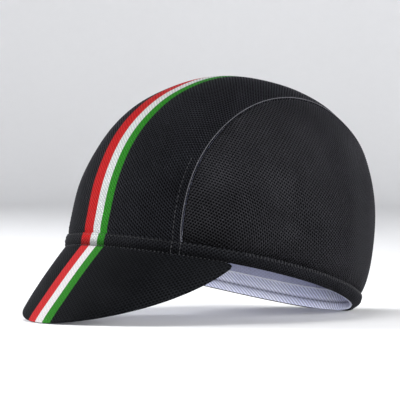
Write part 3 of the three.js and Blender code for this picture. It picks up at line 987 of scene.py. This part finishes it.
def seam_places_on_band():
    """How far along the rim the crown's seam and its topstitching come down to the headband."""
    over = over_at_height(panel_edge, False, HEADBAND_HEIGHT, 1)
    corner, _ = angles_of(direction_over(over, panel_edge(over)))
    seam = float(ring_length_at(corner)[0])
    return np.array([seam, seam - TOPSTITCH_FROM_EDGE])


BAND_SEAMS_AT = seam_places_on_band()


def band_point(around, height, out):
    """A point of a band: the crown's form at a height, moved out level along its normal."""
    up = up_at_height(around, np.maximum(height, 0))
    outward = outward_at(direction_at(around, up))
    outward[..., 2] = 0
    point = crown_form(around, up)
    point[..., 2] = rim_rise(around) + height
    return point + unit(outward) * np.asarray(out)[..., None]


def stitch_phase(around):
    """Turns of the scallops at an angle, whole where the hem's top edge is pulled lowest."""
    return (ring_length_at(around) - ring_length_at(-math.pi)) / RIM_ROUND * STITCHES_ROUND


def headband_sections(around):
    """The headband's section: its rounded outer face from the bottom up, the folded top edge, and
    its inner face, which leaves room for the crown's cloth. Behind the peak's ends it bulges by a
    sine up the band, its top is scalloped by a cosine along it, and its lower edge leans in."""
    length = ring_length_at(around)
    scallop = 0.5 - 0.5 * np.cos(2 * math.pi * stitch_phase(around))
    gathered = (1 - frontness(around)) ** 2
    waves = np.sin(2 * math.pi * length / WAVE_STEP)
    lean_in = HEADBAND_LEAN_IN * (1 - frontness(around))
    inside = -(tuck_at_seam(around) + CLOTH_THICKNESS)
    behind = -tuck_at_seam(around) + LINING_GAP
    pull = PULL_IN_FRONT + (1 - PULL_IN_FRONT) * gathered
    from_seam = np.abs(ring_length_at(np.abs(around))[:, None] - BAND_SEAMS_AT)
    seam_ridge = (SEAM_RIDGE * bell(from_seam, SEAM_RIDGE_HALF_WIDTH)).sum(-1)
    over_peak = np.clip((math.radians(PEAK_HALF_ANGLE) - np.abs(around)) / LOWERED_OVER, 0, 1)
    to_the_peak = LOWERED_OVER_PEAK * over_peak
    rows = []
    for height, out, lean in HEADBAND_FACE:
        share = height / HEADBAND_HEIGHT
        bulge = math.sin(math.pi * height / HEADBAND_HEIGHT)
        pulled = pull * (1 - scallop) * share**8
        face = out + BULGE * gathered * bulge + seam_ridge - lean_in * lean
        face = face + WAVE * gathered * waves * bulge - SCALLOP_DENT * pulled
        face = np.maximum(face, behind + 0.12)
        lowered = to_the_peak * (1 - share) ** 6
        rows.append(band_point(around, height - lowered - SCALLOP_DROP * pulled, face))

    # The inner face: down behind the crown's cloth to its edge, in under it and down to the rim
    rows.append(band_point(around, 7.2 - SCALLOP_DROP * pull * (1 - scallop), behind))
    rows.append(band_point(around, np.full(around.shape, 3.7), behind))
    rows.append(band_point(around, np.full(around.shape, 3.4), inside))
    rows.append(band_point(around, 0.4 - to_the_peak, inside))
    rows.append(band_point(around, 0.05 - to_the_peak, inside + 0.35))
    return np.stack(rows, 1)


ring_around = np.linspace(-math.pi, math.pi, RING_COLUMNS, endpoint=False)
headband_loops = lay_on_table(headband_sections(ring_around))
headband = make_ring("cloth_headband", headband_loops, FINISH["band"])
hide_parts("headband")

# %% Sweatband
SWEATBAND_GAP = 0.3
SWEATBAND_EDGE_ROW, SWEATBAND_CREASE_ROW = 7, 17
PUFF, PUFF_STEPS = 0.09, (7.3, 11.9)
PUFFS_DEEPER_THAN = -0.6

# The sweatband's section, up its outer face and down its inner one: height and how far out
SWEATBAND_FACE = [
    (0.3, -0.3), (3.5, 0.0), (7.4, 0.0), (11.0, 0.0), (13.1, -0.1), (13.4, -0.45), (13.4, -0.95),
    (13.1, -1.3), (12.5, -1.45), (11.7, -1.22), (10.6, -1.3), (9.4, -1.36), (8.4, -1.36),
    (7.6, -1.26), (7.0, -1.1), (6.4, -0.85), (5.9, -0.6), (5.4, -0.5), (4.9, -0.6), (4.4, -0.85),
    (3.8, -1.15), (3.1, -1.34), (2.3, -1.4), (1.5, -1.36), (0.9, -1.24), (0.4, -0.98), (0.3, -0.6),
]


def sweatband_outer(around, height):
    """The sweatband's outer face lies a small gap inside the crown's lining."""
    relief = cloth_relief(around, up_at_height(around, np.maximum(height, HEADBAND_HEIGHT)))
    return relief - tuck(around, height - HEADBAND_HEIGHT) - CLOTH_THICKNESS - SWEATBAND_GAP


def sweatband_sections(around):
    """The sweatband's section: outer face, rolled top edge, and an inner face that puffs out
    above and below the stitched crease, in two sines along the band."""
    length = ring_length_at(around)
    first, second = (2 * math.pi * length / step for step in PUFF_STEPS)
    waves = np.sin(first) + 0.6 * np.sin(second)
    rows = []
    for rise, out in SWEATBAND_FACE:
        puff = PUFF * waves * (1 - frontness(around)) if out < PUFFS_DEEPER_THAN else 0.0 * waves
        height = np.full(around.shape, rise)
        rows.append(band_point(around, height, sweatband_outer(around, height) + out + puff))
    return np.stack(rows, 1)


sweatband_loops = lay_on_table(sweatband_sections(ring_around[::2]))
section = arc_lengths(sweatband_loops, 1).mean(0)
FINISH["sweatband"] = ribbed_cloth(
    "sweatband_ribs", (0.70, 0.73, 0.96), (0.86, 0.88, 1.0),
    float(section[SWEATBAND_EDGE_ROW]), float(section[SWEATBAND_CREASE_ROW]),
)
sweatband = make_ring("cloth_sweatband", sweatband_loops, FINISH["sweatband"])
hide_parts("sweatband")

# %% [markdown]
# ## The peak
# A board between two layers of cloth makes the peak stiff. Its lip is turned and stitched, so it
# is rounded, and a shallow groove runs about two millimetres inside it. The two faces meet at the
# lip in nearly a half circle.

# %% Peak
PEAK_ROWS, PEAK_COLUMNS = 72, 160
PEAK_STARTS_OUT = 0.6  # from the rim's line
LIP_RADIUS = 0.8
LIP_THINNED = 0.4  # the share of the board's thickness that is gone at the lip
LIP_GROOVE, LIP_GROOVE_FROM_LIP, LIP_GROOVE_HALF_WIDTH = 0.16, 1.9, 0.45
FLANGE_TOP, FLANGE_UNDER = 1.3, 0.05


def peak_grid(rows, columns):
    """Angles and reach of the peak: across from -1 to 1 along the rim, out from the rim to the lip,
    both closer together towards their ends, as a sine gives."""
    out = np.sin(math.pi / 2 * np.linspace(0, 1, rows + 1))[:, None]
    across = PEAK_END_SHARE * np.sin(math.pi / 2 * np.linspace(-1, 1, columns + 1))[None, :]
    return np.broadcast_arrays(out, across)


def peak_length(across):
    """The peak's reach from the rim: full in the middle, none at its ends."""
    return PEAK_LENGTH * (1 - np.abs(across) ** PEAK_OUTLINE_SPREAD) ** PEAK_OUTLINE_ROUNDNESS


def peak_point(across, out, depth):
    """A point of the peak: from the rim along a slope that steepens a little towards the lip and
    towards the ends, and a depth down into the board."""
    around = across * math.radians(PEAK_HALF_ANGLE)
    x, y = rim_plan(around)
    slope = np.radians(
        PEAK_SLOPE_MIDDLE + (PEAK_SLOPE_ENDS - PEAK_SLOPE_MIDDLE) * across**2 + PEAK_BOW * (out - 0.5)
    )
    reach = PEAK_STARTS_OUT + (peak_length(across) - PEAK_STARTS_OUT) * out
    return np.stack([
        x,
        y - reach * np.cos(slope) + depth * np.sin(slope),
        rim_rise(around) - reach * np.sin(slope) - depth * np.cos(slope),
    ], -1)


out, across = peak_grid(PEAK_ROWS, PEAK_COLUMNS)
from_lip = (1 - out) * (peak_length(across) - PEAK_STARTS_OUT)
half = PEAK_THICKNESS * (1 - LIP_THINNED * out**6) / 2
rounding = np.sqrt(np.clip(1 - (1 - np.minimum(from_lip / LIP_RADIUS, 1)) ** 2, 0, 1))
groove = LIP_GROOVE * bell(from_lip - LIP_GROOVE_FROM_LIP, LIP_GROOVE_HALF_WIDTH)
peak_top = peak_point(across, out, PEAK_THICKNESS / 2 - half * rounding + groove)
peak_under = peak_point(across, out, PEAK_THICKNESS / 2 + half * rounding - groove)

# A flange of the board runs on under the headband, so no light comes through the seam
peak_around = across[:1] * math.radians(PEAK_HALF_ANGLE)
inward = -outward_at(direction_at(peak_around, 0.0))
inward[..., 2] = 0
inward = unit(inward)
peak_top = np.concatenate([peak_top[:1] + FLANGE_TOP * inward, peak_top])
peak_under = np.concatenate([peak_under[:1] + FLANGE_UNDER * inward, peak_under])
measured_out = arc_lengths(peak_top, 0)
at_the_rim = arc_lengths(peak_top, 1)[:1]
measured_across = at_the_rim - at_the_rim[:, PEAK_COLUMNS // 2]
peak_places = np.stack([measured_across + 0 * measured_out, measured_out], -1) / 1000
peak = make_sheet(
    "cloth_peak", lay_on_table(peak_top)[:, ::-1], lay_on_table(peak_under)[:, ::-1],
    peak_places[:, ::-1], [FINISH["peak_top"], FINISH["peak_under"]],
)
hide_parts("peak")

# %% [markdown]
# ## Stitches
# A sewn row shows as short bars of thread that dive into the cloth at both ends. One small bar of
# six sides is worked out and set along each seam at even steps, all bars of a row together in one
# mesh. Behind the peak's ends the bars lie across the hem's top edge, where stitches wrap it.

# %% Stitch rows
BAR_PLACES = np.array([-1, -0.72, 0, 0.72, 1])
BAR_THICKNESS = np.array([0.35, 0.85, 1.0, 0.85, 0.35])

# From bar to bar, each bar's length and its radius, in metres, and the thread
STITCHES = {
    "hem": (0.0027, 0.0019, 0.00014, "thread_black"),
    "elastic": (0.00233, 0.0021, 0.0003, "thread_hem"),
    "peak": (0.0024, 0.0013, 0.00016, "thread_dim"),
    "band_seam": (0.0024, 0.0019, 0.00016, "thread_dim"),
    "seam": (0.0014, 0.0015, 0.00024, "thread_grey"),
    "topstitch": (0.0028, 0.002, 0.00016, "thread_dim"),
    "sweatband": (0.003, 0.002, 0.0002, "thread_slate"),
}


def along_path(path, outward, pitch):
    """Even places along a line of points: their positions, directions and outward directions."""
    length = arc_lengths(path, 0)
    count = max(int(length[-1] / pitch), 1)
    at = (np.arange(count) + 0.5) * length[-1] / count

    def read(values):
        return np.stack([np.interp(at, length, values[:, k]) for k in range(3)], -1)

    ahead = np.gradient(path, length, axis=0)
    return read(path), unit(read(ahead)), unit(read(outward))


def bar_faces():
    """Faces of one bar: four stretches of six sides, and two faces to close each end."""
    ring, spot = np.meshgrid(np.arange(4), np.arange(6), indexing="ij")
    after = (spot + 1) % 6
    sides = np.stack([ring * 6 + spot, ring * 6 + after, (ring + 1) * 6 + after, (ring + 1) * 6 + spot], -1)
    caps = np.array([[3, 2, 1, 0], [5, 4, 3, 0], [24, 25, 26, 27], [24, 27, 28, 29]])
    return np.concatenate([sides.reshape(-1, 4), caps])[:, ::-1]


def stitch_row(name, path, outward, kind, crosswise=False):
    """Bars of thread along a path or across it, all in metres. Each bar is five rings of six
    points: its radius shrinks and its middle bows up by 1 - t squared."""
    pitch, length, radius, thread_name = STITCHES[kind]
    centre, ahead, up = along_path(path, outward, pitch)
    up = unit(up - ahead * np.sum(up * ahead, -1, keepdims=True))
    side = np.cross(up, ahead)
    if crosswise:
        ahead, side = side, -ahead
    t = BAR_PLACES[None, :, None, None]
    turn = np.linspace(0, 2 * math.pi, 6, endpoint=False)[None, None, :, None]
    thick = radius * BAR_THICKNESS[None, :, None, None]
    bow = radius * 1.1 * (1 - t**2) - 0.5 * radius
    points = (
        centre[:, None, None] + ahead[:, None, None] * t * length / 2
        + up[:, None, None] * (bow + thick * np.sin(turn)) + side[:, None, None] * thick * np.cos(turn)
    )
    faces = (bar_faces()[None] + 30 * np.arange(len(centre))[:, None, None]).reshape(-1, 4)
    places = points.reshape(-1, 3)[faces.ravel()][:, :2]
    return make_piece(name, points, faces, places, [FINISH[thread_name]])


def outward_on_cap(around, height):
    """The crown's outward directions round the head at a height, turned with the tipped cap."""
    return tipped(outward_at(direction_at(around, up_at_height(around, height))))


# %% Stitches on the headband
HEM_ROW, LOWER_ROW = 9, 1  # rows of the headband's section
PAST_THE_PEAK, PEAK_SEAM_ENDS = 62, 57  # degrees round the head


def line_on_headband(first, last, row):
    """A line of the headband's own points between two angles in degrees, at a row of its section."""
    keep = (ring_around >= math.radians(first)) & (ring_around <= math.radians(last))
    return headband_loops[keep, row], outward_on_cap(ring_around[keep], 5.0)


for name, first, last, row, kind in (
    ("stitches_headband_top", -PAST_THE_PEAK, PAST_THE_PEAK, HEM_ROW, "hem"),
    ("stitches_elastic_left", PAST_THE_PEAK, 180, HEM_ROW, "elastic"),
    ("stitches_elastic_right", -180, -PAST_THE_PEAK, HEM_ROW, "elastic"),
    ("stitches_peak_seam", -PEAK_SEAM_ENDS, PEAK_SEAM_ENDS, LOWER_ROW, "peak"),
):
    line, outward = line_on_headband(first, last, row)
    stitch_row(name, line, outward, kind, crosswise=kind == "elastic")

ring_lengths = ring_length_at(ring_around)
for word, sign in (("left", 1), ("right", -1)):
    for number, place in enumerate(BAND_SEAMS_AT):
        column = int(np.argmin(np.abs(ring_lengths - sign * place)))
        line = headband_loops[column, LOWER_ROW:13]
        outward = np.repeat(outward_on_cap(ring_around[column:column + 1], 4.0), len(line), 0)
        stitch_row(
            f"stitches_band_{word}_{number}", line, outward, "band_seam",
        )


# %% Stitches on the crown and the sweatband
SEAM_STITCHES_FROM_EDGE = 0.7
SEAM_STITCH_ROWS = slice(7, -7)  # all rows of the panel but those behind the headband
TOPSTITCH_ROWS = slice(7, 70)  # it stops a quarter of the way over the top


def line_at_distance(distance, side, rows):
    """A line along the centre panel at a distance in millimetres from one of its seams, and the
    outward directions of the panel's nearest points."""
    widths = panel_across[rows]
    target = widths[:, -1] - distance if side > 0 else np.full(len(widths), distance)
    line = np.stack([
        [np.interp(at, width, points[:, k]) for k in range(3)]
        for at, width, points in zip(target, widths, centre_outer[rows])
    ])
    columns = np.arange(widths.shape[1])
    share = np.array([np.interp(at, width, columns) for at, width in zip(target, widths)])
    nearest = np.round(share).astype(int)
    return line, tipped(outward_at(directions[rows][np.arange(len(nearest)), nearest]))


seam_rows = []
for side, word in ((1, "left"), (-1, "right")):
    line, outward = line_at_distance(SEAM_STITCHES_FROM_EDGE, side, SEAM_STITCH_ROWS)
    seam_rows.append(stitch_row(f"stitches_seam_{word}", line, outward, "seam"))
    line, outward = line_at_distance(TOPSTITCH_FROM_EDGE, side, TOPSTITCH_ROWS)
    seam_rows.append(stitch_row(f"stitches_topstitch_{word}", line, outward, "topstitch"))

crease_line = sweatband_loops[:, SWEATBAND_CREASE_ROW]
into_the_cap = -outward_on_cap(ring_around[::2], SWEATBAND_SEAM_HEIGHT)
sweat_stitches = stitch_row("stitches_sweatband", crease_line, into_the_cap, "sweatband")

# %% [markdown]
# ## The sewn sheets
# The centre panel and the two side panels are listed together, each with its cloth places, its
# outer face and its stitch rows. The panels were measured along the cloth when their UV maps were
# made. Each band is modelled as a doubled strip, and its cut would be as wide as its section's
# whole outline. Its cut would be twice that.


sheets = [(centre_panel, centre_places, centre_outer, seam_rows)]
sheets += [(*panel, ()) for panel in side_panels]

# %% [markdown]
# ## Stage, light and camera
# The cap lies on a pale floor that runs up into a pale wall all round, so no horizon shows from
# any side. Soft lights stand left, right and above, because black cloth needs light that grazes
# it, and a small one low in front keeps the near side off plain black. The camera stands where the
# photograph was taken from, low and in front of the wearer's left.

# %% Stage
STAGE_SIDES = 96


def pale_surface(name, colour):
    """A plain matt finish for the stage, with a trace of unevenness. Seen from below it is clear,
    so that the cap's underside can be looked at."""
    material, tree, shader = new_material(name, 0.9, 0.0, (1.0, 1.0, 1.0), 0.5)
    below = tree.nodes.new("ShaderNodeNewGeometry").outputs["Backfacing"]
    tree.links.new(calculate(tree, "SUBTRACT", 1.0, below), shader.inputs["Alpha"])
    darker = tuple(0.985 * c for c in colour)
    tree.links.new(mottled(tree, darker, colour, 3.0, 60.0), shader.inputs["Base Color"])
    return material


def make_stage(radius, bend, wall):
    """A round floor whose rim bends up into a wall: rings of points at growing radius."""
    corner = np.linspace(0, math.pi / 2, 17)
    rings = [(r, 0.0) for r in (0.4, 1.0, radius)]
    rings += [(radius + bend * math.sin(a), bend - bend * math.cos(a)) for a in corner[1:]]
    rings += [(radius + bend, bend + wall)]
    turn = np.linspace(0, 2 * math.pi, STAGE_SIDES, endpoint=False)
    points = [(0.0, 0.0, 0.0)]
    for r, z in rings:
        points += [(r * math.cos(a), r * math.sin(a), z) for a in turn]
    spots = [(i, (i + 1) % STAGE_SIDES) for i in range(STAGE_SIDES)]
    faces = [(0, 1 + i, 1 + after) for i, after in spots]
    for k in range(len(rings) - 1):
        low, high = 1 + STAGE_SIDES * k, 1 + STAGE_SIDES * (k + 1)
        faces += [(low + i, high + i, high + after, low + after) for i, after in spots]
    mesh = bpy.data.meshes.new("stage_floor")
    mesh.from_pydata(points, [], faces)
    mesh.polygons.foreach_set("use_smooth", np.ones(len(faces), bool))
    mesh.materials.append(pale_surface("stage_pale", (0.8, 0.8, 0.81)))
    floor = bpy.data.objects.new("stage_floor", mesh)
    bpy.context.scene.collection.objects.link(floor)


def soft_light(name, place, size, power, colour=(1.0, 1.0, 1.0)):
    """A square area light that faces the middle of the cap."""
    light = bpy.data.lights.new(name, "AREA")
    light.size = size
    light.energy = power
    light.color = colour
    lamp = bpy.data.objects.new(name, light)
    lamp.location = place
    aim = Vector((0, 0, 0.07)) - Vector(place)
    lamp.rotation_mode = "QUATERNION"
    lamp.rotation_quaternion = aim.to_track_quat("-Z", "Y")
    bpy.context.scene.collection.objects.link(lamp)


make_stage(3.0, 0.8, 1.2)
soft_light("light_left", (-1.9, -1.2, 0.7), 1.0, 96, (0.97, 0.98, 1.0))
soft_light("light_right", (1.95, 0.7, 0.5), 0.7, 56)
soft_light("light_above", (-0.2, -0.4, 2.1), 1.2, 24)
soft_light("light_low_front", (1.5, -1.0, 0.15), 0.3, 29)
world = bpy.data.worlds.new("studio")
world.use_nodes = True
background = world.node_tree.nodes["Background"]
background.inputs["Color"].default_value = (0.9, 0.92, 0.95, 1.0)
background.inputs["Strength"].default_value = 0.3
bpy.context.scene.world = world
bpy.context.scene.view_settings.view_transform = "Standard"

# %% Camera
AZIMUTH, ELEVATION, ROLL = (math.radians(a) for a in (50.778, 1.133, 0.271))
CAMERA_AT = (1.16476, -0.95454, 0.09829)
LENS_LENGTH = 228.616


def camera_axes(azimuth, elevation, roll):
    """Right, up and back directions of a camera that looks at the cap from two angles, rolled."""
    back = Vector((
        math.sin(azimuth) * math.cos(elevation), -math.cos(azimuth) * math.cos(elevation),
        math.sin(elevation),
    ))
    level = Vector((math.cos(azimuth), math.sin(azimuth), 0))
    upright = back.cross(level)
    right = math.cos(roll) * level + math.sin(roll) * upright
    return right, back.cross(right), back


lens = bpy.data.cameras.new("camera")
lens.sensor_width = 36
lens.lens = LENS_LENGTH
lens.clip_start, lens.clip_end = 0.1, 20
camera = bpy.data.objects.new("camera", lens)
right, upright, back = camera_axes(AZIMUTH, ELEVATION, ROLL)
turned = Matrix((right, upright, back)).transposed()
camera.matrix_world = Matrix.Translation(CAMERA_AT) @ turned.to_4x4()
bpy.context.scene.collection.objects.link(camera)
bpy.context.scene.camera = camera
print("camera at", [round(v, 3) for v in camera.location])
